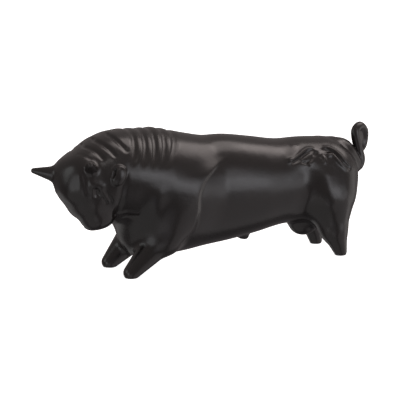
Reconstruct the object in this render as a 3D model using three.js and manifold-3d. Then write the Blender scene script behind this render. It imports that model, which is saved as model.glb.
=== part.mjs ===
// Stoneware bull figurine, cast hollow as one piece and glazed black brown. It stands on four short legs
// with its forelegs braced forward, its neck folded into pleats, its head turned to its own left and
// its tail looped up over the rump. Millimetres, +Z up, head toward -X, the bull's left toward -Y.
//
// The skin is one sculpted form: a distance to the body is worked out from soft masses that flow into
// each other, and a net of four-sided cells is pulled tight over it. Its places and carving are shares
// of the bull's own length, width and height, so its pose keeps its proportions at any size. Horns,
// ears and tail are turned, round or swept solids joined to it, and the soles are cut flat.

import * as THREE from 'three';
import { mergeVertices } from 'three/addons/utils/BufferGeometryUtils.js';
import Module from 'manifold-3d';

// Driving dimensions of the finished bull.
const bodyLength = 350; // brow to rump, without horn and tail loop
const bodyWidth = 97; // across the shoulders
const bodyHeight = 144; // floor to the crest of the neck
const hornLength = 21;
const hornBaseRadius = 7.4;
const hornTipRadius = 2.8;
const earLength = 21;
const earWidth = 14.8;
const earThickness = 10.8;
const tailRootRadius = 11;
const tailRadius = 4.5;
const tailTipRadius = 3;
const curlFloorThickness = 3.6;
const pleatDepth = 2;
const pleatHalfWidth = 3;
const headTurn = THREE.MathUtils.degToRad(27);
const headTuck = THREE.MathUtils.degToRad(15);
const headRoll = THREE.MathUtils.degToRad(17);
const glazeColour = 0x352d2a;
const glazeRoughness = 0.36;
const glazeMetalness = 0;

// The sculpture is laid out in units of its own, in which the bull is this long, wide and high.
const laidOut = new THREE.Vector3(350, 97, 144);
const unit = new THREE.Vector3(bodyLength, bodyWidth, bodyHeight).divide(laidOut);

// Spacing of the net over the sculpture, in its own units: close on head, neck and hip.
const headStep = 4.4;
const neckStep = 3.8;
const barrelStep = 10;
const hipStep = 6.4;
const netStep = 6.3; // across and upright
const netPulls = 3; // times that each corner of the net is pulled to the skin
const soleCut = 20; // thickness of the slab that is cut away under the soles

// Outline of the barrel seen from the side, and its half width seen from above: [x, value] pairs.
const backLine = [
  [-75, 139.5], [-48, 133.7], [-26, 130.6], [0, 129.5], [30, 124.5], [60, 119], [85, 118.5], [105, 117],
];
const bellyLine = [
  [-75, 14], [-48, 16], [-26, 19], [0, 21.8], [30, 26.5], [60, 32], [85, 33], [105, 35],
];
const sideLine = [
  [-75, 46], [-48, 45], [-26, 44], [0, 44], [30, 43], [60, 40], [85, 40], [105, 40],
];
const chestReach = 44; // how far the chest and the rump round off past the ends of those lines
const rumpReach = 42;
const barrelSoftness = 0.9;

// Rear edge of the shoulder: [z, x] pairs.
const shoulderLine = [
  [27, -74], [41, -57], [63, -52], [88, -49], [98, -41], [107, -26], [113, -14],
];

// Run of the neck from withers to poll, with its radius at each point.
const neckRun = [
  [-60, 0, 82], [-92, 0, 93.6], [-122, -3, 101], [-146, -8, 100.3], [-163, -13, 97.5],
];
const neckRadii = [50, 49.7, 44.6, 35.8, 24.5];
const neckPieces = 12;

// Grooves between the pleats: each lies in a plane through a point on the crest, square to the neck.
const pleatGrooves = [
  { point: [-60.6, 0, 140], way: [-1, 0, 0.85] },
  { point: [-74.2, 0, 141], way: [-1, 0, 0.58] },
  { point: [-85.6, 0, 142], way: [-1, 0, 0.5] },
  { point: [-96.6, 0, 142.5], way: [-1, 0, 0.5] },
  { point: [-108.6, 0, 143], way: [-1, 0, 0.5] },
];

// Folds of the neck toward the head, the same on both sides of its middle.
const neckFolds = [
  { line: [[-129, -4, 144], [-132, -20, 141], [-133, -32, 134]], rise: -1.2, wide: 3 },
  {
    line: [[-154, -10, 138], [-148, -22, 136], [-143, -30, 132], [-139, -34.5, 127.5]],
    rise: -1.8,
    wide: 3,
  },
  {
    line: [
      [-164, -13, 133], [-158.5, -25.5, 131], [-153.5, -33.5, 125], [-150, -39, 118], [-149, -43, 111],
    ],
    rise: -1.8,
    wide: 3,
  },
];
const neckMiddle = -10;

// Folds of the hip, seen from the side: [x, z] points, height of the fold (cuts are below zero), width.
const hipFolds = [
  { line: [[61, 103], [66, 104], [74, 108], [84, 112], [91, 112], [96, 109]], rise: 2.4, wide: 4.4 },
  { line: [[64, 99.5], [74, 104], [81, 107.5], [88, 108.5]], rise: -2.4, wide: 3 },
  { line: [[99, 113], [106, 112], [113, 108.5], [120, 103], [127, 95], [133, 89]], rise: 1.8, wide: 3.8 },
  { line: [[100, 108.5], [107, 107.5], [114, 102.5], [121, 94.5], [128, 87]], rise: -1.8, wide: 3 },
  { line: [[104, 103], [109, 103], [115, 98], [121, 90.5], [126, 84]], rise: 1.5, wide: 3.6 },
];

const skullSize = [28.6, 25, 25]; // half width, depth and height

// The head has axes of its own: across toward the bull's left, out of the brow, and down the face.
const poll = new THREE.Vector3(-187, -18, 113.5);
const forward = new THREE.Vector3(-Math.cos(headTurn), -Math.sin(headTurn), 0);
const leftward = new THREE.Vector3(Math.sin(headTurn), -Math.cos(headTurn), 0);
const upward = new THREE.Vector3(0, 0, 1);
const outOfBrow = forward.clone().multiplyScalar(Math.cos(headTuck))
  .addScaledVector(upward, -Math.sin(headTuck));
const straightDown = forward.clone().multiplyScalar(-Math.sin(headTuck))
  .addScaledVector(upward, -Math.cos(headTuck));
const acrossHead = leftward.clone().multiplyScalar(Math.cos(headRoll))
  .addScaledVector(straightDown, -Math.sin(headRoll));
const downFace = straightDown.clone().multiplyScalar(Math.cos(headRoll))
  .addScaledVector(leftward, Math.sin(headRoll));
const headAxes = [acrossHead, outOfBrow, downFace];

// Each horn's root and the way it grows, in the head's own axes: the bull's left, then its right.
const horns = [
  { root: [24.9, -15.4, 8.5], way: [13, 11.2, -8.3] },
  { root: [-21, -8, 3], way: [-13.7, 8.5, -9.3] },
];

// The ear's own axes in the head's: out of the side of the head, across the leaf, and along it.
const earCentre = [41.2, -30.8, 25];
const farEarInward = 8.4; // the neck is stretched thinner on the side that the head turns from
const earAxes = [[0.835, 0.543, -0.09], [-0.448, 0.575, -0.685], [0.324, -0.609, -0.724]];

// Run of the tail: a broad strip down from the rump, a sharp turn up, and a curl that ends behind it.
const tailRun = [
  [122, 0, 104], [132, -4, 103], [140.8, -6, 92.6], [146.6, -6, 84.9], [151, -5, 90.8],
  [149.3, -4, 101.1], [146.6, -4, 111.6], [146.6, -3, 119.8], [153.3, 1, 123.2], [159.8, 4, 117.2],
  [160.6, 5, 108.3], [158.2, 3, 101.7], [154, 0, 98.2],
];
const curlEnds = [6, 10, 8, 12]; // points of the run at the curl's front, back, top and foot
const tailSteps = 44;
const tailSides = 8;

function onHead(across, out, down) {
  return poll.clone().addScaledVector(acrossHead, across).addScaledVector(outOfBrow, out)
    .addScaledVector(downFace, down);
}

function blend(a, b, softness) {
  const overlap = Math.max(softness - Math.abs(a - b), 0) / softness;
  return Math.min(a, b) - overlap * overlap * softness / 4;
}

const fade = (value, low, high) => THREE.MathUtils.smoothstep(value, low, high);
const hump = (distance, width) => Math.exp(-((distance / width) ** 2));

// Returns a function that follows the pairs smoothly and stays level past both ends.
function follow(pairs) {
  const last = pairs.length - 1;
  const slopes = pairs.map((pair, k) => {
    const before = pairs[Math.max(k - 1, 0)];
    const after = pairs[Math.min(k + 1, last)];
    return (after[1] - before[1]) / (after[0] - before[0]);
  });
  return (value) => {
    const held = THREE.MathUtils.clamp(value, pairs[0][0], pairs[last][0]);
    let k = 0;
    while (k < last - 1 && held > pairs[k + 1][0]) k += 1;
    const gap = pairs[k + 1][0] - pairs[k][0];
    const t = (held - pairs[k][0]) / gap;
    const rest = 1 - t;
    return pairs[k][1] * (1 + 2 * t) * rest * rest + slopes[k] * gap * t * rest * rest
      + pairs[k + 1][1] * t * t * (3 - 2 * t) - slopes[k + 1] * gap * t * t * rest;
  };
}

// A soft-cornered egg: power 2 is a true egg, a higher power squares it off.
function egg(centre, radii, axes, power) {
  return (p) => {
    const away = [p.x - centre.x, p.y - centre.y, p.z - centre.z];
    let sum = 0;
    let slope = 0;
    for (let k = 0; k < 3; k += 1) {
      const part = axes
        ? Math.abs(away[0] * axes[k].x + away[1] * axes[k].y + away[2] * axes[k].z)
        : Math.abs(away[k]);
      const share = part / radii[k];
      sum += share ** power;
      slope += (share ** (power - 1) / radii[k]) ** 2;
    }
    const size = sum ** (1 / power);
    return (size - 1) * size ** (power - 1) / Math.sqrt(slope + 1e-12);
  };
}

// A limb from one ball to another of a different radius, with straight sides that touch both.
function limb(start, end, startRadius, endRadius) {
  const run = end.clone().sub(start);
  const length = run.length();
  run.divideScalar(length);
  const lean = (startRadius - endRadius) / length;
  const draw = lean / Math.sqrt(1 - lean * lean);
  return (p) => {
    const x = p.x - start.x;
    const y = p.y - start.y;
    const z = p.z - start.z;
    const along = x * run.x + y * run.y + z * run.z;
    const aside = Math.sqrt(Math.max(x * x + y * y + z * z - along * along, 0));
    const held = THREE.MathUtils.clamp(along - draw * aside, 0, length);
    return Math.hypot(along - held, aside) - startRadius + lean * held;
  };
}

// The neck: limbs end to end along a smooth curve.
function neckMass() {
  const places = neckRun.map((place) => new THREE.Vector3(...place));
  const curve = new THREE.CatmullRomCurve3(places, false, 'catmullrom');
  const radius = follow(neckRadii.map((value, k) => [k / (neckRadii.length - 1), value]));
  const limbs = [];
  for (let k = 0; k < neckPieces; k += 1) {
    const from = k / neckPieces;
    const to = (k + 1) / neckPieces;
    limbs.push(limb(curve.getPoint(from), curve.getPoint(to), radius(from), radius(to)));
  }
  return (p) => limbs.reduce((nearest, piece) => Math.min(nearest, piece(p)), Infinity);
}

function barrelMass() {
  const back = follow(backLine);
  const belly = follow(bellyLine);
  const side = follow(sideLine);
  const first = backLine[0][0];
  const last = backLine[backLine.length - 1][0];
  return (p) => {
    const held = THREE.MathUtils.clamp(p.x, first, last);
    const tall = (back(held) - belly(held)) / 2;
    const middle = (back(held) + belly(held)) / 2;
    const reach = p.x < held ? chestReach : rumpReach;
    const past = (p.x - held) * tall / reach;
    return (Math.hypot(past, p.y * tall / side(held), p.z - middle) - tall) * barrelSoftness;
  };
}

function legMasses(side) {
  const at = (x, y, z) => new THREE.Vector3(x, y, z);
  return {
    shoulder: limb(at(-70, side * 24, 66), at(-78, side * 26, 38), 25, 19),
    foreleg: limb(at(-80, side * 25.5, 37), at(-115, side * 26 - 1, 5), 17.3 + side, 8),
    thigh: limb(at(107, side * 19, 60), at(109.5, side * 27, 27), 28, 13.6),
    shank: limb(at(110, side * 27 - 2, 26), at(116, side * 28 - 3, 3.6), 12 - side, 6.8),
  };
}

function headMass() {
  const skull = egg(onHead(-0.6, -25, 17), skullSize, headAxes, 2.6);
  const cheek = egg(onHead(-1.2, -24, 37), [25.2, 22, 22], headAxes, 2.6);
  const nose = limb(onHead(0, -20, 38), onHead(0, -19, 56), 19, 12.5);
  const muzzle = egg(onHead(0, -17.5, 59.8), [13.5, 12, 10.8], headAxes, 2.6);
  const jaw = egg(onHead(0, -36, 38), [28, 19, 22], headAxes, 2.6);
  const jawbones = [-1, 1].map((side) => (
    limb(onHead(side * 9, -31, 44), onHead(side * 6, -24.5, 60), 16, 11.5)
  ));
  const face = (p) => {
    const brow = blend(blend(skull(p), cheek(p), 8), nose(p), 8);
    const chops = jawbones.reduce((sum, bone) => blend(sum, bone(p), 5), jaw(p));
    return blend(blend(brow, muzzle(p), 5), chops, 8);
  };
  return { skull, face };
}

// Distance from a place to a broken line, both given as the same two or three coordinates.
function distanceToLine(place, line) {
  let nearest = Infinity;
  for (let k = 0; k + 1 < line.length; k += 1) {
    const way = line[k + 1].map((value, n) => value - line[k][n]);
    const away = place.map((value, n) => value - line[k][n]);
    const dot = (a, b) => a.reduce((sum, value, n) => sum + value * b[n], 0);
    const share = THREE.MathUtils.clamp(dot(away, way) / dot(way, way), 0, 1);
    nearest = Math.min(nearest, Math.hypot(...away.map((value, n) => value - share * way[n])));
  }
  return nearest;
}

// How far pleats, neck and hip folds, shoulder edge and flank hollow raise or sink the skin.
function carving() {
  const shoulder = follow(shoulderLine);
  const grooves = pleatGrooves.map((groove) => ({
    point: new THREE.Vector3(...groove.point),
    way: new THREE.Vector3(...groove.way).normalize(),
  }));
  return (p) => {
    const onTop = fade(p.z + 0.12 * (p.x + 100), 110, 130);
    const offCrest = 0.45 + 0.55 * fade(Math.abs(p.y + 4), 4, 18);
    const onSide = fade(Math.abs(p.y), 8, 18);
    let rise = 0;
    for (const { point, way } of grooves) {
      const away = (p.x - point.x) * way.x + (p.y - point.y) * way.y + (p.z - point.z) * way.z;
      rise -= pleatDepth * hump(away, pleatHalfWidth) * onTop * offCrest;
    }
    if (p.x < neckFolds[0].line[0][0] + barrelStep) {
      const oneSide = [p.x, neckMiddle - Math.abs(p.y - neckMiddle), p.z];
      for (const { line, rise: height, wide } of neckFolds) {
        rise += height * hump(distanceToLine(oneSide, line), wide);
      }
    }
    const onHip = fade(Math.abs(p.y), 6, 14) * fade(p.x, 40, 60);
    if (onHip > 0) {
      for (const { line, rise: height, wide } of hipFolds) {
        rise += onHip * height * hump(distanceToLine([p.x, p.z], line), wide);
      }
      rise += onHip * 2.4 * hump(Math.hypot(p.x - 93, p.z - 111), 6.5);
    }
    const behind = p.x - shoulder(p.z);
    const shoulderBand = onSide * fade(p.z, 24, 45) * (1 - fade(p.z, 100, 116));
    rise += 1.8 * shoulderBand * (1 - fade(behind, -3, 6)) * hump(Math.min(behind, 0), 26);
    const chestBand = onSide * fade(p.z, 30, 45) * (1 - fade(p.z, 84, 100));
    rise += 1.4 * chestBand * hump(p.x + 98 - 0.08 * (p.z - 60), 9);
    const flankBand = onSide * fade(p.z, 40, 60) * (1 - fade(p.z, 88, 100));
    rise -= 2 * flankBand * hump(p.x - 74 - 0.1 * (p.z - 76), 11);
    return rise;
  };
}

// Distance from a point to the whole sculpted body.
function sculpture() {
  const barrel = barrelMass();
  const brisket = egg(new THREE.Vector3(-90.5, 0, 44), [26, 27, 31], null, 2);
  const scrotum = egg(new THREE.Vector3(89.5, 0, 31), [16, 13, 14], null, 2);
  const sheath = limb(new THREE.Vector3(21, 0, 24), new THREE.Vector3(24, 0, 22), 4, 3);
  const neck = neckMass();
  const legs = [-1, 1].map(legMasses);
  const carved = carving();
  const head = headMass();
  return (p) => {
    let skin = blend(blend(barrel(p), brisket(p), 10), neck(p), 14);
    for (const leg of legs) {
      skin = blend(skin, blend(leg.shoulder(p), leg.foreleg(p), 6), 8);
      skin = blend(skin, blend(leg.thigh(p), leg.shank(p), 6), 10);
    }
    skin -= carved(p);
    skin = blend(skin, head.skull(p), 6);
    skin = blend(skin, head.face(p), 3);
    return blend(blend(skin, scrotum(p), 8), sheath(p), 8);
  };
}

function evenLines(from, to, step) {
  const count = Math.round((to - from) / step);
  return Array.from({ length: count + 1 }, (_, n) => from + (to - from) * n / count);
}

// Lines of the net along, across and up, each reaching two steps past the forms that it goes over.
function netLines() {
  const headReach = Math.hypot(...skullSize);
  const head = poll.x - headReach;
  const neckEnd = neckRun[neckRun.length - 1][0];
  const withers = backLine[0][0];
  const hip = hipFolds[0].line[0][0] - hipStep;
  const rump = backLine[backLine.length - 1][0] + rumpReach + 2 * hipStep;
  const side = Math.max(...neckRadii) + 2 * netStep;
  const top = Math.max(...neckRun.map((place, k) => place[2] + neckRadii[k])) + netStep;
  return [
    [
      ...evenLines(head, neckEnd, headStep).slice(0, -1),
      ...evenLines(neckEnd, withers, neckStep).slice(0, -1),
      ...evenLines(withers, hip, barrelStep).slice(0, -1),
      ...evenLines(hip, rump, hipStep),
    ],
    evenLines(-side, side, netStep),
    evenLines(-2 * netStep, top, netStep),
  ];
}

// Pulls a net over the skin: a corner in each cell that the skin passes through, at the mean of the
// places where the skin crosses the cell's edges, and a four-sided face round each crossed edge.
function netOver(distance) {
  const lines = netLines();
  const [nx, ny, nz] = lines.map((list) => list.length);
  const place = new THREE.Vector3();
  const values = new Float64Array(nx * ny * nz);
  const number = (i, j, k) => (i * ny + j) * nz + k;
  for (let i = 0; i < nx; i += 1) {
    for (let j = 0; j < ny; j += 1) {
      for (let k = 0; k < nz; k += 1) {
        values[number(i, j, k)] = distance(place.set(lines[0][i], lines[1][j], lines[2][k]));
      }
    }
  }
  const cells = new Map();
  const corner = (i, j, k) => {
    const key = number(i, j, k);
    if (!cells.has(key)) cells.set(key, { sum: new THREE.Vector3(), count: 0, index: cells.size });
    return cells.get(key);
  };
  const faces = [];
  const around = [[-1, -1], [0, -1], [0, 0], [-1, 0]];
  for (let axis = 0; axis < 3; axis += 1) {
    const [first, second] = [(axis + 1) % 3, (axis + 2) % 3];
    for (let i = 1; i < nx - 1; i += 1) {
      for (let j = 1; j < ny - 1; j += 1) {
        for (let k = 1; k < nz - 1; k += 1) {
          const here = [i, j, k];
          const next = [...here];
          next[axis] += 1;
          const a = values[number(...here)];
          const b = values[number(...next)];
          if (a < 0 === b < 0) continue;
          const crossing = new THREE.Vector3(...here.map((n, m) => lines[m][n]));
          const gap = lines[axis][here[axis] + 1] - lines[axis][here[axis]];
          crossing.setComponent(axis, lines[axis][here[axis]] + gap * a / (a - b));
          const ring = around.map(([u, v]) => {
            const cell = [...here];
            cell[first] += u;
            cell[second] += v;
            const found = corner(...cell);
            found.sum.add(crossing);
            found.count += 1;
            return found.index;
          });
          faces.push(a < 0 ? ring : ring.reverse());
        }
      }
    }
  }
  const corners = [...cells.values()].map(({ sum, count }) => sum.divideScalar(count));
  return { corners, faces };
}

function slopeOf(distance, p) {
  const nudge = 0.3;
  const slope = new THREE.Vector3();
  for (let axis = 0; axis < 3; axis += 1) {
    const ahead = p.clone().setComponent(axis, p.getComponent(axis) + nudge);
    const behind = p.clone().setComponent(axis, p.getComponent(axis) - nudge);
    slope.setComponent(axis, (distance(ahead) - distance(behind)) / (2 * nudge));
  }
  return slope;
}

function bodyGeometry() {
  const distance = sculpture();
  const { corners, faces } = netOver(distance);
  for (const p of corners) {
    for (let pull = 0; pull < netPulls; pull += 1) {
      const slope = slopeOf(distance, p);
      p.addScaledVector(slope, -distance(p) / Math.max(slope.lengthSq(), 0.1));
    }
    p.multiply(unit);
  }
  const indices = faces.flatMap((ring) => {
    const [a, b, c, d] = ring;
    const shortWay = corners[a].distanceTo(corners[c]) <= corners[b].distanceTo(corners[d]);
    return shortWay ? [a, b, c, a, c, d] : [a, b, d, b, c, d];
  });
  const geometry = new THREE.BufferGeometry().setFromPoints(corners);
  geometry.setIndex(indices);
  return geometry;
}

// A horn: a turned cone with a round tip, its root sunk in the skull.
function hornGeometry(horn) {
  const root = onHead(...horn.root).multiply(unit);
  const ahead = onHead(...horn.root.map((value, k) => value + horn.way[k])).multiply(unit);
  const profile = [new THREE.Vector2(0, 0), new THREE.Vector2(hornBaseRadius, 0)];
  const tipStart = hornLength - hornTipRadius;
  profile.push(new THREE.Vector2((hornBaseRadius + hornTipRadius) / 2, tipStart / 2));
  for (const angle of [0, Math.PI / 6, Math.PI / 3]) {
    const out = hornTipRadius * Math.cos(angle);
    profile.push(new THREE.Vector2(out, tipStart + hornTipRadius * Math.sin(angle)));
  }
  profile.push(new THREE.Vector2(0, hornLength));
  const geometry = new THREE.LatheGeometry(profile, 12);
  const way = ahead.sub(root).normalize();
  const turn = new THREE.Quaternion().setFromUnitVectors(new THREE.Vector3(0, 1, 0), way);
  return geometry.applyQuaternion(turn).translate(root.x, root.y, root.z);
}

// An ear: a flattened ball laid back along the side of the head, behind the horn.
function earGeometry(side) {
  const [across, out, down] = earCentre;
  const inward = side < 0 ? farEarInward : 0;
  const centre = onHead(side * (across - inward), out, down).multiply(unit);
  const geometry = new THREE.SphereGeometry(0.5, 12, 8);
  geometry.scale(earThickness, earWidth, earLength);
  const [thick, wide, long] = earAxes.map(([a, b, c]) => onHead(side * a, b, c).sub(poll));
  const turn = new THREE.Matrix4().makeBasis(thick, wide, long);
  if (turn.determinant() < 0) turn.makeBasis(thick.negate(), wide, long);
  return geometry.applyMatrix4(turn).translate(centre.x, centre.y, centre.z);
}

// The tail: a round section swept along its run, its size following the root, strand and tip radii.
function tailGeometry() {
  const curve = new THREE.CatmullRomCurve3(
    tailRun.map((place) => new THREE.Vector3(...place).multiply(unit)),
    false,
    'catmullrom',
  );
  const section = new THREE.Shape().absarc(0, 0, 1, 0, Math.PI * 2);
  const geometry = new THREE.ExtrudeGeometry(section, {
    steps: tailSteps, extrudePath: curve, bevelEnabled: false, curveSegments: tailSides / 2,
  });
  const radius = follow([
    [0, tailRootRadius], [0.2, 0.7 * tailRootRadius], [0.38, 1.1 * tailRadius], [0.5, tailRadius],
    [0.8, 0.94 * tailRadius], [1, tailTipRadius],
  ]);
  const centres = curve.getSpacedPoints(tailSteps);
  const position = geometry.getAttribute('position');
  const corner = new THREE.Vector3();
  for (let k = 0; k < position.count; k += 1) {
    corner.fromBufferAttribute(position, k);
    let nearest = 0;
    centres.forEach((centre, n) => {
      const gap = Math.abs(corner.distanceTo(centre) - 1);
      if (gap < Math.abs(corner.distanceTo(centres[nearest]) - 1) - 1e-6) nearest = n;
    });
    const centre = centres[nearest];
    corner.sub(centre).multiplyScalar(radius(nearest / tailSteps)).add(centre);
    position.setXYZ(k, corner.x, corner.y, corner.z);
  }
  return geometry;
}

// The floor that closes the tail's curl: a flattened ball whose rim lies inside the strands.
function curlFloorGeometry() {
  const [front, back, top, foot] = curlEnds.map((k) => new THREE.Vector3(...tailRun[k]).multiply(unit));
  const across = back.clone().sub(front);
  const width = across.length() - tailRadius / 2;
  const height = top.z - foot.z - tailRadius / 2;
  const geometry = new THREE.SphereGeometry(0.5, 8, 6);
  geometry.scale(width, height, curlFloorThickness).rotateX(Math.PI / 2);
  geometry.rotateZ(Math.atan2(across.y, across.x));
  return geometry.translate((front.x + back.x) / 2, (front.y + back.y) / 2, (top.z + foot.z) / 2);
}

const wasm = await Module();
wasm.setup();

function solidOf(geometry) {
  const bare = new THREE.BufferGeometry();
  bare.setAttribute('position', geometry.getAttribute('position').clone());
  bare.setIndex(geometry.index);
  const merged = mergeVertices(bare, 1e-3);
  return new wasm.Manifold(new wasm.Mesh({
    numProp: 3,
    vertProperties: merged.attributes.position.array,
    triVerts: new Uint32Array(merged.index.array),
  }));
}

function geometryOf(solid) {
  const { vertProperties, triVerts } = solid.getMesh();
  const geometry = new THREE.BufferGeometry();
  geometry.setAttribute('position', new THREE.BufferAttribute(vertProperties, 3));
  geometry.setIndex(new THREE.BufferAttribute(triVerts, 1));
  return geometry;
}

function floorSlab() {
  const slab = new THREE.BoxGeometry(2 * bodyLength, 2 * bodyWidth, soleCut);
  return slab.translate(0, 0, -soleCut / 2);
}

function bullGeometry() {
  let solid = solidOf(bodyGeometry());
  for (const horn of horns) solid = solid.add(solidOf(hornGeometry(horn)));
  for (const side of [-1, 1]) solid = solid.add(solidOf(earGeometry(side)));
  solid = solid.add(solidOf(tailGeometry())).add(solidOf(curlFloorGeometry()));
  solid = solid.subtract(solidOf(floorSlab()));
  const geometry = geometryOf(solid);
  geometry.computeBoundingBox();
  const middle = geometry.boundingBox.getCenter(new THREE.Vector3());
  return geometry.translate(-middle.x, -middle.y, 0);
}

const glaze = new THREE.MeshStandardMaterial({
  color: glazeColour,
  roughness: glazeRoughness,
  metalness: glazeMetalness,
});

const bull = new THREE.Mesh(bullGeometry(), glaze);
bull.name = 'bull';

const figurine = new THREE.Group();
figurine.add(bull);

export default figurine;
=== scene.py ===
"""Black-brown glazed stoneware bull figurine on a plain pale ground.

The bull is one casting. Its fine skin is worked out here as a distance from soft masses for barrel,
neck, head and legs, with the pleats, folds, eyes and muzzle carved into them. A net is pulled tight over
it and fitted to the box of the plain solid that it replaces.
"""

import math

import bpy
import numpy as np
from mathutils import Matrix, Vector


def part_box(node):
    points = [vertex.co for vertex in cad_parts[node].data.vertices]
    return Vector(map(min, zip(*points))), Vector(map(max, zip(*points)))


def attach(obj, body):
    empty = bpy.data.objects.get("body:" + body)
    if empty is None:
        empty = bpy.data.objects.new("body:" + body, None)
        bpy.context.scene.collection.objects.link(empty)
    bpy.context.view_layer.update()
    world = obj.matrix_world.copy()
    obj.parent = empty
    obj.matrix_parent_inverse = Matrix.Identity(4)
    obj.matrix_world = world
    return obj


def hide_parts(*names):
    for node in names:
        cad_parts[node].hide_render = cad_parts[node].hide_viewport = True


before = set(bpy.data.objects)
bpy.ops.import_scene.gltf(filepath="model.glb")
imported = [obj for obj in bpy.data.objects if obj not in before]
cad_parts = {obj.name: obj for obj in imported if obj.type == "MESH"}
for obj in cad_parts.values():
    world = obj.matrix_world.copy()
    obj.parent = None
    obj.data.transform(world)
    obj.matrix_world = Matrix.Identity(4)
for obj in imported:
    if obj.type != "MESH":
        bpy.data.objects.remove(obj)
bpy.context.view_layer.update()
box_low, box_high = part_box("bull")

# The sculpture is laid out in units of its own, with its head toward -x, its left toward -y and the
# floor at z = 0. The finished net is fitted to the frame's box.

# Outline of the barrel from the side, and its half width from above: (x, value) pairs.
BACK_LINE = [
    (-75, 139.5), (-48, 133.7), (-26, 130.6), (0, 129.5), (30, 124.5), (60, 119), (85, 118.5), (105, 117),
]
BELLY_LINE = [(-75, 14), (-48, 16), (-26, 19), (0, 21.8), (30, 26.5), (60, 32), (85, 33), (105, 35)]
SIDE_LINE = [(-75, 46), (-48, 45), (-26, 44), (0, 44), (30, 43), (60, 40), (85, 40), (105, 40)]
CHEST_REACH = 44
RUMP_REACH = 42
BARREL_SOFTNESS = 0.9

# Rear edge of the shoulder: (z, x) pairs.
SHOULDER_LINE = [(27, -74), (41, -57), (63, -52), (88, -49), (98, -41), (107, -26), (113, -14)]

# Rise or depth of each broad form of the side, its half width, and the heights over which it comes in
# above its foot and goes out below its top.
SHOULDER_STEP, SHOULDER_WIDTH, SHOULDER_HEIGHTS = 2.2, 26, ((24, 45), (100, 116))
CHEST_RIDGE, CHEST_WIDTH, CHEST_HEIGHTS = 1.4, 9, ((30, 45), (84, 100))
FLANK_HOLLOW, FLANK_WIDTH, FLANK_HEIGHTS = 2, 11, ((40, 60), (88, 100))

# Run of the neck from withers to poll, with its radius at each point.
NECK_RUN = [(-60, 0, 82), (-92, 0, 93.6), (-122, -3, 101), (-146, -8, 100.3), (-163, -13, 97.5)]
NECK_RADII = [50, 49.7, 44.6, 35.8, 24.5]
NECK_PIECES = 12

# Grooves between the pleats: a point on the crest, and the way the neck runs there.
PLEAT_GROOVES = [
    ((-60.6, 0, 140), (-1, 0, 0.85)),
    ((-74.2, 0, 141), (-1, 0, 0.58)),
    ((-85.6, 0, 142), (-1, 0, 0.5)),
    ((-96.6, 0, 142.5), (-1, 0, 0.5)),
    ((-108.6, 0, 143), (-1, 0, 0.5)),
]
PLEAT_DEPTH = 2.0
PLEAT_HALF_WIDTH = 3.0

# Folds of the neck toward the head, on both sides of its middle: points, rise and half width.
NECK_FOLDS = [
    ([(-133, -3, 144), (-130.8, -14.3, 142), (-127.9, -26.8, 138.2), (-123.9, -34.7, 132.3)], -1.8, 2.4),
    ([(-147.5, -9.8, 139.7), (-144, -21.1, 137.6), (-140.1, -29.2, 133.8), (-136.5, -35.5, 128.6)],
     -2.0, 2.3),
    ([(-159.2, -10, 134.5), (-155.9, -20.5, 133.5), (-151.9, -28.3, 130.7), (-149, -33.9, 126.5)],
     -2.0, 2.2),
    ([(-168.5, -19, 129.4), (-165.2, -25.9, 128.5), (-161.1, -31.4, 126.1)], -1.6, 2.0),
]
NECK_MIDDLE = -10

# Where along the bull each set of folds is worked out: ahead of the first two, behind the last.
HEAD_END = -110
CHEST_END = -40
HIP_START = 40

# Folds of the chest, the same on both sides: the dewlap's edge and the groove under it.
CHEST_FOLDS = [
    ([(-129.9, -31, 67.4), (-123.6, -36.4, 69.9), (-114.5, -38.2, 68.4)], 1.0, 2.4),
    ([(-128.7, -24, 61), (-123.5, -32.5, 65), (-113.9, -35.2, 64)], -1.8, 2.6),
]

# Folds of the hip, the same on both sides: points, rise (cuts are below zero) and half width.
HIP_FOLDS = [
    ([(95, -39, 84), (94, -43, 70), (96, -44, 58)], 1.6, 8.0),
    ([(70.3, -18, 114), (64.4, -25.8, 109.1), (59.4, -32.7, 103.9)], 0.9, 4.0),
    ([(59, -32.5, 103.9), (63.5, -32, 104.4), (68.5, -29.9, 107), (75.1, -26.7, 110.2),
      (81.2, -24.5, 112.6), (86.5, -24, 113.4), (91, -27, 112)], 1.9, 2.4),
    ([(62, -33, 101.5), (68.2, -30.6, 103), (74.9, -27.5, 105.2), (80.9, -26, 107.7), (86, -26, 109.3)],
     -2.3, 1.7),
    ([(71.9, -28.7, 102.3), (77, -26.7, 104.3), (82.4, -26, 106.3), (86.2, -25, 107.6)], 1.3, 1.5),
    ([(72.5, -31.5, 99.7), (76.1, -32.3, 98.6), (81, -30.6, 100.4), (86.5, -27.5, 104.1),
      (90.8, -27, 107)], -1.5, 1.3),
    ([(79.3, -34.1, 98), (85.4, -31.8, 100), (90.6, -29, 104), (92.9, -28.8, 108.4)], 1.2, 1.5),
    ([(94, -29.5, 108.3), (94.6, -29.9, 107.6)], 1.3, 1.6),
    ([(94.7, -31.2, 105.1), (94.5, -31.6, 103.5)], -1.5, 1.4),
    ([(96.3, -31.5, 104.6), (97, -32.2, 102.5), (96.6, -34, 98.3)], 1.3, 1.5),
    ([(92.3, -23.6, 114.3), (98.4, -23.4, 113.6), (104.6, -22.9, 111.5), (109.6, -24.8, 109.1),
      (114.3, -27.3, 104.5), (118.2, -29.5, 99.1), (122.5, -30.8, 93.4), (128, -29.7, 88)], 1.5, 2.0),
    ([(98, -26, 109.5), (106, -25.5, 107), (110.9, -27, 105), (115.1, -29.7, 100.4), (118.6, -32.3, 95.2),
      (123.8, -32.3, 90)], -1.9, 1.7),
    ([(103, -30.1, 104.5), (107.4, -29.8, 104), (110.4, -33, 100.3), (114.4, -35.3, 95.2),
      (119.7, -36, 89.5)], 1.6, 2.0),
]

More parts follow.
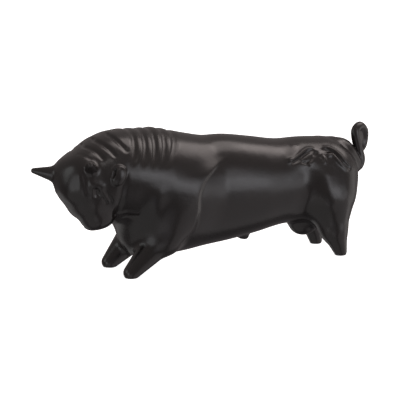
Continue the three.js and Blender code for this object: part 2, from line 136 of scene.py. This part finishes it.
# Folds of the face in the head's own axes, the same on both sides: points, rise and half width.
FACE_FOLDS = [
    ([(22, -1.5, 5), (19.5, -1.5, 13), (17.5, -0.6, 21), (15.5, -0.6, 28), (12, -0.5, 34)], 0.8, 4.5),
    ([(26, -7, 6), (22.5, -5.5, 14), (20.8, -4.3, 22.9), (19.5, -4.5, 28)], -1.2, 3.8),
    ([(26, -9, 22), (28.5, -12, 25.5), (30, -14, 28)], 1.2, 4.0),
    ([(25.5, -10, 29.5), (24, -10, 33.5)], -2.8, 2.8),
    ([(29.5, -12.4, 31), (28.4, -14.5, 36.7), (27, -18, 43)], 0.9, 1.7),
    ([(26.6, -13.4, 40), (24.5, -16.5, 46)], -0.9, 1.3),
    ([(29.5, -17.5, 40), (28, -20.5, 46)], -0.7, 1.2),
    ([(45, -34, 27), (44, -32.5, 33), (40.5, -29, 39.7), (34.7, -26.6, 48.9), (27.6, -26, 56.5),
      (18, -28, 64)], -1.5, 3.0),
    ([(0, -2.4, 61.5), (3, -2.6, 61.7), (8, -4.8, 62.5), (12, -9, 63.5)], -0.9, 1.1),
    ([(5.5, -1.5, 54), (8, -2.8, 56)], -1.1, 1.5),
]

# Each horn's root, tip and root radius in the head's own axes: the bull's left, then its right.
HORNS = [((24.9, -15.4, 8.5), (37.9, -4.2, 0.2), 6.4), ((-21, -8, 3), (-34.7, 0.5, -6.3), 7.4)]
HORN_TIP_RADIUS = 2.8

# The ear's own axes in the head's: out of the side of the head, along the leaf, and across it.
EAR_AXES = np.array([(0.835, 0.543, -0.09), (0.324, -0.609, -0.724), (-0.448, 0.575, -0.685)])
EAR_CENTRE = (41.2, -30.8, 25)
EAR_RADII = (5.4, 10.5, 7.4)
EAR_SQUARENESS = 2.2
EAR_SLOT = (41, -26.5, 20.5)
EAR_SLOT_RADII = (4, 5.5, 1.6)
FAR_EAR_INWARD = 8.4

# The floor that closes the tail's curl: its middle, radii and turn about the upright.
CURL_FLOOR = (153.6, 0.5, 110.7)
CURL_FLOOR_RADII = (7.2, 1.8, 11.3)
CURL_TURN = math.radians(32.7)

# The head's turn to the left, tuck and roll, the place that its own axes start from, and how square its
# masses are.
HEAD_TURN = math.radians(27)
HEAD_TUCK = math.radians(15)
HEAD_ROLL = math.radians(17)
POLL = np.array([-187.0, -18.0, 113.5])
HEAD_SQUARENESS = 2.6

# Run of the tail: down from the rump, a sharp turn up, and a curl that ends behind it.
TAIL_RUN = [
    (122, 0, 104), (132, -4, 103), (140.8, -6, 92.6), (146.6, -6, 84.9), (151, -5, 90.8),
    (149.3, -4, 101.1), (146.6, -4, 111.6), (146.6, -3, 119.8), (153.3, 1, 123.2), (159.8, 4, 117.2),
    (160.6, 5, 108.3), (158.2, 3, 101.7), (154, 0, 98.2),
]
TAIL_RADII = [11, 9.6, 7.6, 6.5, 5.2, 4.6, 4.6, 4.5, 4.4, 4.3, 4.0, 3.6, 3.0]
TAIL_PIECES = 48

# Spacing of the net: (start, step) of each stretch along the bull, close on head, neck and rump and
# wider on the plain barrel, then its reach to the end, sides, floor and top.
NET_X = [(-214, 1.05), (-132, 1.2), (-62, 1.9), (52, 1.25)]
NET_X_END = 170
NET_YZ = 1.25
NET_SIDE = 60
NET_FLOOR = -4
NET_TOP = 150
NET_PULLS = 3  # times that each corner is pulled to the skin
LOOK_AHEAD = 4  # lines of the net from one looked-at line to the next
LOOK_MARGIN = 1.1  # how far past the widest look the skin's reach is taken
SLOPE_NUDGE = 0.2  # the short step that a slope is taken across
LEAST_SLOPE = 0.2  # a pull divides by no less than this slope squared


def curve_through(points, pieces):
    """Points at even steps of a smooth curve through the given ones: on each stretch the cubic whose
    slope at an end is half the way between that end's two neighbours."""
    given = np.array(points, float)
    outer = np.concatenate([[2 * given[0] - given[1]], given, [2 * given[-1] - given[-2]]])
    place = np.linspace(0, len(given) - 1, pieces + 1)
    k = np.minimum(place.astype(int), len(given) - 2)
    t = (place - k)[:, None]
    a, b, c, d = outer[k], outer[k + 1], outer[k + 2], outer[k + 3]
    bend, twist = 2 * a - 5 * b + 4 * c - d, 3 * b - a - 3 * c + d
    return 0.5 * (2 * b + (c - a) * t + bend * t**2 + twist * t**3)


def follow(pairs, at):
    """Smooth value at each place: a cubic between neighbouring pairs, level past both ends."""
    xs, ys = np.array(pairs, float).T
    slope = np.gradient(ys, xs)
    at = np.clip(at, xs[0], xs[-1])
    k = np.clip(np.searchsorted(xs, at, side="right") - 1, 0, len(xs) - 2)
    gap = xs[k + 1] - xs[k]
    t = (at - xs[k]) / gap
    rest = 1 - t
    start = ys[k] * (1 + 2 * t) * rest**2 + slope[k] * gap * t * rest**2
    return start + ys[k + 1] * t * t * (3 - 2 * t) - slope[k + 1] * gap * t * t * rest


def fade(value, low, high):
    """Rises from 0 at low to 1 at high as three t squared less two t cubed."""
    t = np.clip((value - low) / (high - low), 0, 1)
    return t * t * (3 - 2 * t)


def band(mask, height, foot, top):
    """The mask between two heights: times a rise from 0 to 1 over the foot's range, and times a fall
    from 1 to 0 over the top's."""
    return mask * fade(height, *foot) * (1 - fade(height, *top))


def hump(distance, width):
    """A bell: e to the power of minus the square of distance over width."""
    return np.exp(-((distance / width) ** 2))


def blend(a, b, softness):
    """The nearer of two distances, less a quarter of the softness where they are equal, so that two
    masses flow together."""
    overlap = np.maximum(softness - np.abs(a - b), 0) / softness
    return np.minimum(a, b) - overlap**2 * softness / 4


def carve(a, b, softness):
    """Distance to the first mass with the second cut out of it, its rim rounded by the softness."""
    overlap = np.maximum(softness - np.abs(a + b), 0) / softness
    return np.maximum(a, -b) + overlap**2 * softness / 4


def egg(p, centre, radii, axes=None, power=2.0):
    """Distance to an egg: the sum of (offset over radius) to the power, less one, over its own slope.
    Power 2 is a true egg, and a higher power squares it off."""
    away = p - np.asarray(centre, p.dtype)
    if axes is not None:
        away = away @ axes.T.astype(p.dtype)
    share = np.abs(away) / np.array(radii, p.dtype)
    size = (share**power).sum(1) ** (1 / power)
    slope = np.sqrt(((share ** (power - 1) / np.array(radii, p.dtype)) ** 2).sum(1) + 1e-12)
    return (size - 1) * size ** (power - 1) / slope


def limb(p, start, end, start_radius, end_radius):
    """Distance to a limb between two balls: the run to the axis point whose ball is nearest, less that
    ball's radius. The axis point leads the foot of the perpendicular by the cone's lean."""
    start, end = np.array(start, float), np.array(end, float)
    way = end - start
    length = np.linalg.norm(way)
    way = (way / length).astype(p.dtype)
    lean = (start_radius - end_radius) / length
    away = p - start.astype(p.dtype)
    along = away @ way
    aside = np.sqrt(np.maximum((away**2).sum(1) - along**2, 0))
    held = np.clip(along - lean / math.sqrt(1 - lean**2) * aside, 0, length)
    return np.hypot(along - held, aside) - start_radius + lean * held


def chain(p, points, radii):
    """Distance to limbs laid end to end: the least of their distances."""
    found = limb(p, points[0], points[1], radii[0], radii[1])
    for k in range(1, len(points) - 1):
        found = np.minimum(found, limb(p, points[k], points[k + 1], radii[k], radii[k + 1]))
    return found


def head_axes():
    """Rows: across the head toward its left, out of the brow, and down the face. The head's forward way
    is turned to the left, tucked down, and rolled about its own forward way."""
    forward = np.array([-math.cos(HEAD_TURN), -math.sin(HEAD_TURN), 0])
    left = np.array([math.sin(HEAD_TURN), -math.cos(HEAD_TURN), 0])
    up = np.array([0, 0, 1.0])
    out = forward * math.cos(HEAD_TUCK) - up * math.sin(HEAD_TUCK)
    down = -forward * math.sin(HEAD_TUCK) - up * math.cos(HEAD_TUCK)
    across = left * math.cos(HEAD_ROLL) - down * math.sin(HEAD_ROLL)
    return np.array([across, out, down * math.cos(HEAD_ROLL) + left * math.sin(HEAD_ROLL)])


HEAD_AXES = head_axes()
NECK_POINTS = curve_through(NECK_RUN, NECK_PIECES)
NECK_SIZES = curve_through([(r,) for r in NECK_RADII], NECK_PIECES)[:, 0]
CURL_AXES = np.array([
    (math.cos(CURL_TURN), math.sin(CURL_TURN), 0),
    (-math.sin(CURL_TURN), math.cos(CURL_TURN), 0),
    (0, 0, 1),
])
TAIL_POINTS = curve_through(TAIL_RUN, TAIL_PIECES)
TAIL_SIZES = curve_through([(r,) for r in TAIL_RADII], TAIL_PIECES)[:, 0]


def barrel(p):
    """Round sections carried along x between the back and belly lines, their width from the side line,
    with both ends rounded off at the chest's and the rump's reach."""
    held = np.clip(p[:, 0], BACK_LINE[0][0], BACK_LINE[-1][0])
    top, low, wide = follow(BACK_LINE, held), follow(BELLY_LINE, held), follow(SIDE_LINE, held)
    tall, middle = (top - low) / 2, (top + low) / 2
    reach = np.where(p[:, 0] < held, CHEST_REACH, RUMP_REACH)
    past = (p[:, 0] - held) * tall / reach
    out = np.sqrt(past**2 + (p[:, 1] * tall / wide) ** 2 + (p[:, 2] - middle) ** 2)
    return (out - tall) * BARREL_SOFTNESS


def run_gap(p, points):
    """Least distance to the stretches of a broken line."""
    found = np.full(len(p), np.inf, p.dtype)
    for start, end in zip(np.array(points[:-1], p.dtype), np.array(points[1:], p.dtype)):
        way = end - start
        share = np.clip((p - start) @ way / (way @ way), 0, 1)
        found = np.minimum(found, np.sqrt(((p - start - share[:, None] * way) ** 2).sum(1)))
    return found


def folded(p, folds):
    """Sum of a bell across each fold: its rise at the fold's line, gone a few half widths away."""
    return sum(rise * hump(run_gap(p, points), wide) for points, rise, wide in folds)


def carving(p):
    """Rise of the skin: minus a bell across each pleat groove's plane, plus a bell across each other
    fold, plus a step that rises ahead of the shoulder line, a chest ridge, and minus the hollow of the
    flank."""
    x, y, z = p.T
    on_top = fade(z + 0.12 * (x + 100), 110, 130)
    off_crest = 0.45 + 0.55 * fade(np.abs(y + 4), 4, 18)
    on_side = fade(np.abs(y), 8, 18)
    rise = np.zeros(len(p), p.dtype)
    for point, way in PLEAT_GROOVES:
        way = np.array(way, float) / np.linalg.norm(way)
        away = (p - np.array(point, p.dtype)) @ way.astype(p.dtype)
        rise -= PLEAT_DEPTH * hump(away, PLEAT_HALF_WIDTH) * on_top * off_crest
    neck = np.nonzero(x < HEAD_END)[0]
    one_side = p[neck].copy()
    one_side[:, 1] = NECK_MIDDLE - np.abs(one_side[:, 1] - NECK_MIDDLE)
    rise[neck] += folded(one_side, NECK_FOLDS)
    one_side = p * (1, 0, 1) - np.abs(p) * (0, 1, 0)
    for near, folds in ((x < CHEST_END, CHEST_FOLDS), (x > HIP_START, HIP_FOLDS)):
        rise[near] += folded(one_side[near], folds)
    behind = x - follow(SHOULDER_LINE, z)
    shoulder = band(on_side, z, *SHOULDER_HEIGHTS) * (1 - fade(behind, -3, 4))
    rise += SHOULDER_STEP * shoulder * hump(np.minimum(behind, 0), SHOULDER_WIDTH)
    chest = band(on_side, z, *CHEST_HEIGHTS)
    rise += CHEST_RIDGE * chest * hump(x + 98 - 0.08 * (z - 60), CHEST_WIDTH)
    flank = band(on_side, z, *FLANK_HEIGHTS)
    return rise - FLANK_HOLLOW * flank * hump(x - 74 - 0.1 * (z - 76), FLANK_WIDTH)


def leg_masses(p, side):
    """Fore and hind leg of one side: an upper limb and a lower limb for each, flowing together. The
    bull's right foreleg is a little thicker at its top than its left, and its right shank thinner."""
    shoulder = limb(p, (-70, side * 24, 66), (-78, side * 26, 38), 25, 19)
    foreleg = limb(p, (-80, side * 25.5, 37), (-115, side * 26 - 1, 5), 17.3 + side, 8)
    thigh = limb(p, (107, side * 19, 60), (109.5, side * 27, 27), 28, 13.6)
    shank = limb(p, (110, side * 27 - 2, 26), (116, side * 28 - 3, 3.6), 12 - side, 6.6)
    return blend(shoulder, foreleg, 6), blend(thigh, shank, 6)


def head_egg(q, centre, radii):
    """Distance to a squared-off egg that lies along the head's own axes."""
    return egg(q, centre, radii, power=HEAD_SQUARENESS)


def skull(q):
    """The egg of the brow and the back of the head."""
    return head_egg(q, (-0.6, -25, 17), (28.6, 25, 25))


def face(q):
    """Skull, cheeks, nose, muzzle and jaw blended, the jaw with a bone along each side."""
    cheek = head_egg(q, (-1.2, -24, 37), (25.2, 22, 22))
    nose = limb(q, (0, -20, 38), (0, -19, 56), 19, 12.5)
    muzzle = head_egg(q, (0, -17.5, 59.8), (13.5, 12, 10.8))
    jaw = head_egg(q, (0, -36, 38), (28, 19, 22))
    for side in (-1, 1):
        jaw = blend(jaw, limb(q, (side * 9, -31, 44), (side * 6, -24.5, 60), 16, 11.5), 5)
    return blend(blend(blend(blend(skull(q), cheek, 8), nose, 8), muzzle, 5), jaw, 8)


def ear(q):
    """A thick leaf laid back along the side of the head with a slot cut in its front."""
    leaf = egg(q, EAR_CENTRE, EAR_RADII, EAR_AXES, EAR_SQUARENESS)
    return carve(leaf, egg(q, EAR_SLOT, EAR_SLOT_RADII, EAR_AXES), 1.0)


def bull(p):
    """Distance to the whole bull: barrel, brisket, neck and legs, less the carving, with the head, less
    the folds of the face, and the horns, ears, scrotum, sheath and tail blended on."""
    brisket = egg(p, (-90.5, 0, 44), (26, 27, 31))
    scrotum = egg(p, (89.5, 0, 31), (16, 13, 14))
    sheath = limb(p, (21, 0, 24), (24, 0, 22), 4, 3)
    skin = blend(blend(barrel(p), brisket, 10), chain(p, NECK_POINTS, NECK_SIZES), 14)
    for side in (-1, 1):
        fore, hind = leg_masses(p, side)
        skin = blend(blend(skin, fore, 8), hind, 10)
    skin = skin - carving(p)
    q = (p - POLL.astype(p.dtype)) @ HEAD_AXES.T.astype(p.dtype)
    skin = blend(blend(skin, skull(q), 6), face(q), 3)
    head = np.nonzero(p[:, 0] < HEAD_END)[0]
    one_side = np.abs(q[head]) * (1, 0, 0) + q[head] * (0, 1, 1)
    skin[head] -= folded(one_side, FACE_FOLDS)
    for root, tip, radius in HORNS:
        skin[head] = blend(skin[head], limb(q[head], root, tip, radius, HORN_TIP_RADIUS), 4)
    for side, inward in ((1, 0), (-1, FAR_EAR_INWARD)):
        skin[head] = blend(skin[head], ear(q[head] * (side, 1, 1) + (inward, 0, 0)), 2)
    skin = blend(blend(skin, scrotum, 8), sheath, 8)
    curl_floor = egg(p, CURL_FLOOR, CURL_FLOOR_RADII, CURL_AXES)
    return blend(skin, blend(chain(p, TAIL_POINTS, TAIL_SIZES), curl_floor, 2), 4)


def even_lines(low, high, step):
    """Places from low to high, evenly spaced at about the step."""
    return np.linspace(low, high, max(2, round((high - low) / step) + 1))


def net_lines():
    """Places of the net's lines along x, y and z."""
    coarser = 1.0
    stops = [start for start, _ in NET_X[1:]] + [NET_X_END]
    along = [even_lines(start, stop, step * coarser)[:-1] for (start, step), stop in zip(NET_X, stops)]
    across = even_lines(-NET_SIDE, NET_SIDE, NET_YZ * coarser)
    upright = even_lines(NET_FLOOR, NET_TOP, NET_YZ * coarser)
    return [np.concatenate([*along, [NET_X_END]]), across, upright]


def grid_points(lines):
    """Every crossing of the lines, one row each, the last axis running fastest."""
    return np.stack(np.meshgrid(*lines, indexing="ij"), -1).reshape(-1, 3).astype(np.float32)


def net_values(lines):
    """Distance at each crossing of the lines. Every fourth line is looked at first, and only crossings
    within reach of the skin are worked out one by one. The rest keep the value of the nearest looked-at
    crossing, which has the right sign."""
    shape = [len(line) for line in lines]
    coarse = [line[::LOOK_AHEAD] for line in lines]
    rough = bull(grid_points(coarse)).reshape([len(line) for line in coarse])
    nearest = [
        np.minimum((np.arange(count) + LOOK_AHEAD // 2) // LOOK_AHEAD, len(line) - 1)
        for count, line in zip(shape, coarse)
    ]
    values = rough[np.ix_(*nearest)].reshape(-1)
    widest = max(np.diff(line).max() for line in lines) * LOOK_AHEAD
    close = np.nonzero(np.abs(values) < widest * LOOK_MARGIN)[0]
    values[close] = bull(grid_points(lines)[close])
    return values.reshape(shape)


def net_over_skin():
    """Corners and four-sided faces. Each cell that the skin passes through holds one corner, at the mean
    of the places where the skin crosses the cell's edges, found by straight-line share of the two end
    values. Each crossed edge gets a face of the four cells round it, wound to face outward."""
    lines = net_lines()
    values = net_values(lines)
    inside = values < 0
    cells = tuple(len(line) - 1 for line in lines)
    total = np.zeros((math.prod(cells), 3))
    count = np.zeros(math.prod(cells))
    rings = []
    for axis in range(3):
        first, second = (axis + 1) % 3, (axis + 2) % 3
        near, far = [slice(None)] * 3, [slice(None)] * 3
        near[axis], far[axis] = slice(0, -1), slice(1, None)
        edge = np.stack(np.nonzero(inside[tuple(near)] != inside[tuple(far)]), 1)
        a = values[tuple(near)][tuple(edge.T)]
        b = values[tuple(far)][tuple(edge.T)]
        crossing = np.stack([lines[k][edge[:, k]] for k in range(3)], 1)
        gap = np.diff(lines[axis])[edge[:, axis]]
        crossing[:, axis] += gap * a / (a - b)
        ring = []
        for u, v in ((-1, -1), (0, -1), (0, 0), (-1, 0)):
            cell = edge.copy()
            cell[:, first] += u
            cell[:, second] += v
            key = np.ravel_multi_index(tuple(cell.T), cells)
            for k in range(3):
                total[:, k] += np.bincount(key, crossing[:, k], minlength=len(count))
            count += np.bincount(key, minlength=len(count))
            ring.append(key)
        ring = np.stack(ring, 1)
        ring[a >= 0] = ring[a >= 0, ::-1]
        rings.append(ring)
    used = count > 0
    number = np.cumsum(used) - 1
    return total[used] / count[used, None], number[np.concatenate(rings)]


def slope_of(p):
    """Slope of the distance: its difference across a short step each way, over the two steps' length."""
    steps = np.eye(3) * SLOPE_NUDGE
    return np.stack([(bull(p + step) - bull(p - step)) / (2 * SLOPE_NUDGE) for step in steps], 1)


def bull_net():
    """The net with each corner moved along the slope by distance over slope squared, a few times over,
    its soles flat on the floor, and its box fitted to the frame's."""
    corners, rings = net_over_skin()
    for _ in range(NET_PULLS):
        slope = slope_of(corners)
        pull = bull(corners) / np.maximum((slope**2).sum(1), LEAST_SLOPE)
        corners = corners - slope * pull[:, None]
    corners[:, 2] = np.maximum(corners[:, 2], 0)
    low, high = corners.min(0), corners.max(0)
    fit = (np.array(box_high) - np.array(box_low)) / (high - low)
    return (corners - low) * fit + np.array(box_low), rings


def mesh_object(name, corners, rings):
    """A smooth mesh object from arrays of corners and four-sided faces."""
    mesh = bpy.data.meshes.new(name)
    mesh.vertices.add(len(corners))
    mesh.vertices.foreach_set("co", corners.astype(np.float32).ravel())
    mesh.loops.add(rings.size)
    mesh.loops.foreach_set("vertex_index", rings.astype(np.int32).ravel())
    mesh.polygons.add(len(rings))
    mesh.polygons.foreach_set("loop_start", np.arange(0, rings.size, 4, dtype=np.int32))
    mesh.update(calc_edges=True)
    mesh.validate()
    mesh.polygons.foreach_set("use_smooth", np.ones(len(mesh.polygons), bool))
    made = bpy.data.objects.new(name, mesh)
    bpy.context.collection.objects.link(made)
    return made


def new_group(name, inputs, outputs):
    """An empty node group with named sockets: inputs are (name, default), outputs are (name, kind)."""
    tree = bpy.data.node_groups.new(name, "ShaderNodeTree")
    for label, default in inputs:
        socket = tree.interface.new_socket(label, in_out="INPUT", socket_type="NodeSocketFloat")
        socket.default_value = default
    for label, kind in outputs:
        tree.interface.new_socket(label, in_out="OUTPUT", socket_type=kind)
    return tree, tree.nodes.new("NodeGroupInput"), tree.nodes.new("NodeGroupOutput")


def noise(tree, given, detail):
    """Noise over the object's own coordinates at the group's Scale."""
    place = tree.nodes.new("ShaderNodeTexCoord")
    cloud = tree.nodes.new("ShaderNodeTexNoise")
    cloud.inputs["Detail"].default_value = detail
    tree.links.new(place.outputs["Object"], cloud.inputs["Vector"])
    tree.links.new(given.outputs["Scale"], cloud.inputs["Scale"])
    return cloud.outputs["Fac"]


def patches_group(name, scale, detail, low, high):
    """Patches as a mask: noise mapped from low..high to 0..1 and held there."""
    tree, given, result = new_group(name, [("Scale", scale)], [("Mask", "NodeSocketFloat")])
    mapped = tree.nodes.new("ShaderNodeMapRange")
    mapped.inputs["From Min"].default_value = low
    mapped.inputs["From Max"].default_value = high
    tree.links.new(noise(tree, given, detail), mapped.inputs["Value"])
    tree.links.new(mapped.outputs["Result"], result.inputs["Mask"])
    return tree


def break_group():
    """Where the glaze runs thin over raised folds and pools in grooves, from the bend of the skin."""
    tree, given, result = new_group(
        "Glaze break",
        [("Thin from", 0.52), ("Thin to", 0.6), ("Pool from", 0.48), ("Pool to", 0.4)],
        [("Thin", "NodeSocketFloat"), ("Pooled", "NodeSocketFloat")],
    )
    skin = tree.nodes.new("ShaderNodeNewGeometry")
    for output, start, end in (("Thin", "Thin from", "Thin to"), ("Pooled", "Pool from", "Pool to")):
        mapped = tree.nodes.new("ShaderNodeMapRange")
        tree.links.new(skin.outputs["Pointiness"], mapped.inputs["Value"])
        tree.links.new(given.outputs[start], mapped.inputs["From Min"])
        tree.links.new(given.outputs[end], mapped.inputs["From Max"])
        tree.links.new(mapped.outputs["Result"], result.inputs[output])
    return tree


def ripple_group():
    """The glaze's soft ripple as a normal."""
    tree, given, result = new_group(
        "Glaze ripple", [("Scale", 160.0), ("Height", 0.0002)], [("Normal", "NodeSocketVector")]
    )
    bump = tree.nodes.new("ShaderNodeBump")
    tree.links.new(noise(tree, given, 2.0), bump.inputs["Height"])
    tree.links.new(given.outputs["Height"], bump.inputs["Distance"])
    tree.links.new(bump.outputs["Normal"], result.inputs["Normal"])
    return tree


def add_group(material, tree, **values):
    """Puts a node group into a material, with the given values on its inputs."""
    node = material.node_tree.nodes.new("ShaderNodeGroup")
    node.node_tree = tree
    for label, value in values.items():
        node.inputs[label].default_value = value
    return node


def mix_colour(material, mask, under, over, strength):
    """Lays a colour over another by a mask times a strength."""
    nodes, links = material.node_tree.nodes, material.node_tree.links
    amount = nodes.new("ShaderNodeMath")
    amount.operation = "MULTIPLY"
    amount.inputs[1].default_value = strength
    links.new(mask, amount.inputs[0])
    mixed = nodes.new("ShaderNodeMix")
    mixed.data_type = "RGBA"
    links.new(amount.outputs[0], mixed.inputs["Factor"])
    if isinstance(under, tuple):
        mixed.inputs["A"].default_value = under
    else:
        links.new(under, mixed.inputs["A"])
    mixed.inputs["B"].default_value = over
    return mixed.outputs["Result"]


# Colours of the glaze: its body, its clouds, where it runs thin, where it pools, and its specks.
GLAZE = (0.008, 0.0068, 0.0065, 1)
GLAZE_CLOUD = (0.0125, 0.0098, 0.009, 1)
GLAZE_THIN = (0.026, 0.019, 0.016, 1)
GLAZE_POOL = (0.004, 0.0036, 0.0035, 1)
SPECK = (0.03, 0.025, 0.022, 1)
GLAZE_ROUGHNESS = 0.27
COAT_WEIGHT = 0.12
COAT_ROUGHNESS = 0.2


def glaze_material():
    """Black-brown satin glaze, cloudy where it lies thicker or thinner, with small specks that rise
    through it in firing: brown where it breaks over raised folds, darker where it pools."""
    made = bpy.data.materials.new("Black-brown glaze")
    made.use_nodes = True
    shader = made.node_tree.nodes["Principled BSDF"]
    mottling = add_group(made, patches_group("Glaze mottling", 30.0, 5.0, 0.35, 0.7), Scale=32.0)
    specks = add_group(made, patches_group("Firing specks", 900.0, 1.0, 0.68, 0.78), Scale=850.0)
    breaks = add_group(made, break_group())
    ripple = add_group(made, ripple_group(), Scale=140.0, Height=0.00012)
    colour = mix_colour(made, mottling.outputs["Mask"], GLAZE, GLAZE_CLOUD, 0.7)
    colour = mix_colour(made, breaks.outputs["Thin"], colour, GLAZE_THIN, 0.6)
    colour = mix_colour(made, breaks.outputs["Pooled"], colour, GLAZE_POOL, 0.7)
    colour = mix_colour(made, specks.outputs["Mask"], colour, SPECK, 0.35)
    links = made.node_tree.links
    links.new(colour, shader.inputs["Base Color"])
    links.new(ripple.outputs["Normal"], shader.inputs["Normal"])
    shader.inputs["Roughness"].default_value = GLAZE_ROUGHNESS
    shader.inputs["Coat Weight"].default_value = COAT_WEIGHT
    shader.inputs["Coat Roughness"].default_value = COAT_ROUGHNESS
    return made


def plain_material(name, colour, roughness):
    """One colour and one roughness all over."""
    made = bpy.data.materials.new(name)
    made.use_nodes = True
    shader = made.node_tree.nodes["Principled BSDF"]
    shader.inputs["Base Color"].default_value = colour
    shader.inputs["Roughness"].default_value = roughness
    return made


def build_bull():
    """The glazed skin in place of the plain solid."""
    piece = mesh_object("bull_skin", *bull_net())
    piece.data.materials.append(glaze_material())
    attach(piece, "root")
    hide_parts("bull")


def aim(thing, place, target):
    """Stands a camera or lamp at a place, looking at a target."""
    thing.location = place
    way = Vector(target) - Vector(place)
    thing.rotation_mode = "QUATERNION"
    thing.rotation_quaternion = way.to_track_quat("-Z", "Y")


FLOOR_HALF = 12.0
FLOOR_COLOUR = (0.9, 0.9, 0.9, 1)
FLOOR_GLOW = 1.0


def build_floor():
    """A white ground that glows enough to stay white round the bull, unseen in its glaze."""
    corners = np.array([(-1, -1, 0), (1, -1, 0), (1, 1, 0), (-1, 1, 0)], float) * FLOOR_HALF
    floor = mesh_object("floor", corners, np.array([[0, 1, 2, 3]]))
    ground = plain_material("Pale ground", FLOOR_COLOUR, 0.9)
    shader = ground.node_tree.nodes["Principled BSDF"]
    shader.inputs["Emission Color"].default_value = (1, 1, 1, 1)
    shader.inputs["Emission Strength"].default_value = FLOOR_GLOW
    floor.data.materials.append(ground)
    floor.visible_glossy = False
    floor.visible_diffuse = False
    floor.visible_shadow = False


# The surround's colour straight above and straight below.
ZENITH_COLOUR = (0.40, 0.355, 0.345, 1)
NADIR_COLOUR = (0.085, 0.08, 0.085, 1)

# Soft lamps round the bull: name, the way to it, strength, spread in degrees and colour.
LAMPS = [
    ("overhead", (0.42, 0.10, 0.90), 0.50, 33, (1, 0.90, 0.87)),
    ("high_tail_side", (0.76, 0.08, 0.64), 0.50, 33, (1, 0.90, 0.87)),
    ("high_front", (-0.10, -0.60, 0.79), 0.08, 14, (1, 0.95, 0.92)),
    ("high_side", (0.36, -0.86, 0.36), 0.14, 24, (0.95, 0.95, 1)),
    ("side", (0.43, -0.89, 0.10), 0.19, 22, (0.95, 0.95, 1)),
    ("front", (0.70, -0.71, 0.05), 0.18, 33, (0.95, 0.95, 1)),
    ("tail_end", (0.97, 0, -0.15), 0.20, 40, (1, 0.95, 0.92)),
    ("low_tail_side", (0.69, -0.50, -0.53), 0.38, 69, (1, 0.93, 0.94)),
    ("low_head_side", (-0.54, -0.36, -0.76), 0.30, 69, (1, 0.97, 0.96)),
    ("low_front", (-0.29, -0.85, -0.44), 0.06, 33, (0.95, 0.92, 1)),
    ("head_side", (-0.91, -0.40, -0.13), 0.24, 33, (0.95, 0.97, 1)),
    ("far_head_side", (-0.94, 0.16, 0.30), 0.25, 33, (0.95, 1, 1)),
    ("low_far_side", (-0.30, 0.70, -0.65), 0.09, 34, (1, 1, 0.98)),
]


def build_lamps():
    """Soft lamps far off in each way, each as broad as its spread."""
    for name, way, strength, degrees, colour in LAMPS:
        light = bpy.data.lights.new(name, "SUN")
        light.energy = strength
        light.angle = math.radians(degrees)
        light.color = colour
        lamp = bpy.data.objects.new(name, light)
        bpy.context.collection.objects.link(lamp)
        aim(lamp, way, (0, 0, 0))


def build_surround():
    """A pale surround that darkens evenly from straight above to straight below."""
    world = bpy.data.worlds.new("Pale surround")
    world.use_nodes = True
    nodes, links = world.node_tree.nodes, world.node_tree.links
    place = nodes.new("ShaderNodeTexCoord")
    parts = nodes.new("ShaderNodeSeparateXYZ")
    level = nodes.new("ShaderNodeMapRange")
    level.inputs["From Min"].default_value = -1.0
    shade = nodes.new("ShaderNodeMix")
    shade.data_type = "RGBA"
    shade.inputs["A"].default_value = NADIR_COLOUR
    shade.inputs["B"].default_value = ZENITH_COLOUR
    links.new(place.outputs["Generated"], parts.inputs["Vector"])
    links.new(parts.outputs["Z"], level.inputs["Value"])
    links.new(level.outputs["Result"], shade.inputs["Factor"])
    links.new(shade.outputs["Result"], nodes["Background"].inputs["Color"])
    bpy.context.scene.world = world


# The view is from ahead of the bull's left side, a little above, through a long lens.
VIEW_AROUND = math.radians(-25.6)
VIEW_ABOVE = math.radians(13.3)
VIEW_DISTANCE = 6.0
VIEW_WIDTH = 0.4
SENSOR = 36.0
VIEW_TARGET = (-0.0062, 0.0, 0.0645)


def build_camera():
    """The photograph's view: the lens is the sensor times the distance over the width in view."""
    data = bpy.data.cameras.new("camera")
    data.sensor_width = SENSOR
    data.lens = SENSOR * VIEW_DISTANCE / VIEW_WIDTH
    data.clip_end = 100
    camera = bpy.data.objects.new("camera", data)
    bpy.context.collection.objects.link(camera)
    flat = math.cos(VIEW_ABOVE)
    back = Vector((math.sin(VIEW_AROUND) * flat, -math.cos(VIEW_AROUND) * flat, math.sin(VIEW_ABOVE)))
    target = Vector(VIEW_TARGET)
    aim(camera, target + back * VIEW_DISTANCE, target)
    bpy.context.scene.camera = camera


build_bull()
build_floor()
build_lamps()
build_surround()
build_camera()
bpy.context.scene.view_settings.view_transform = "Standard"
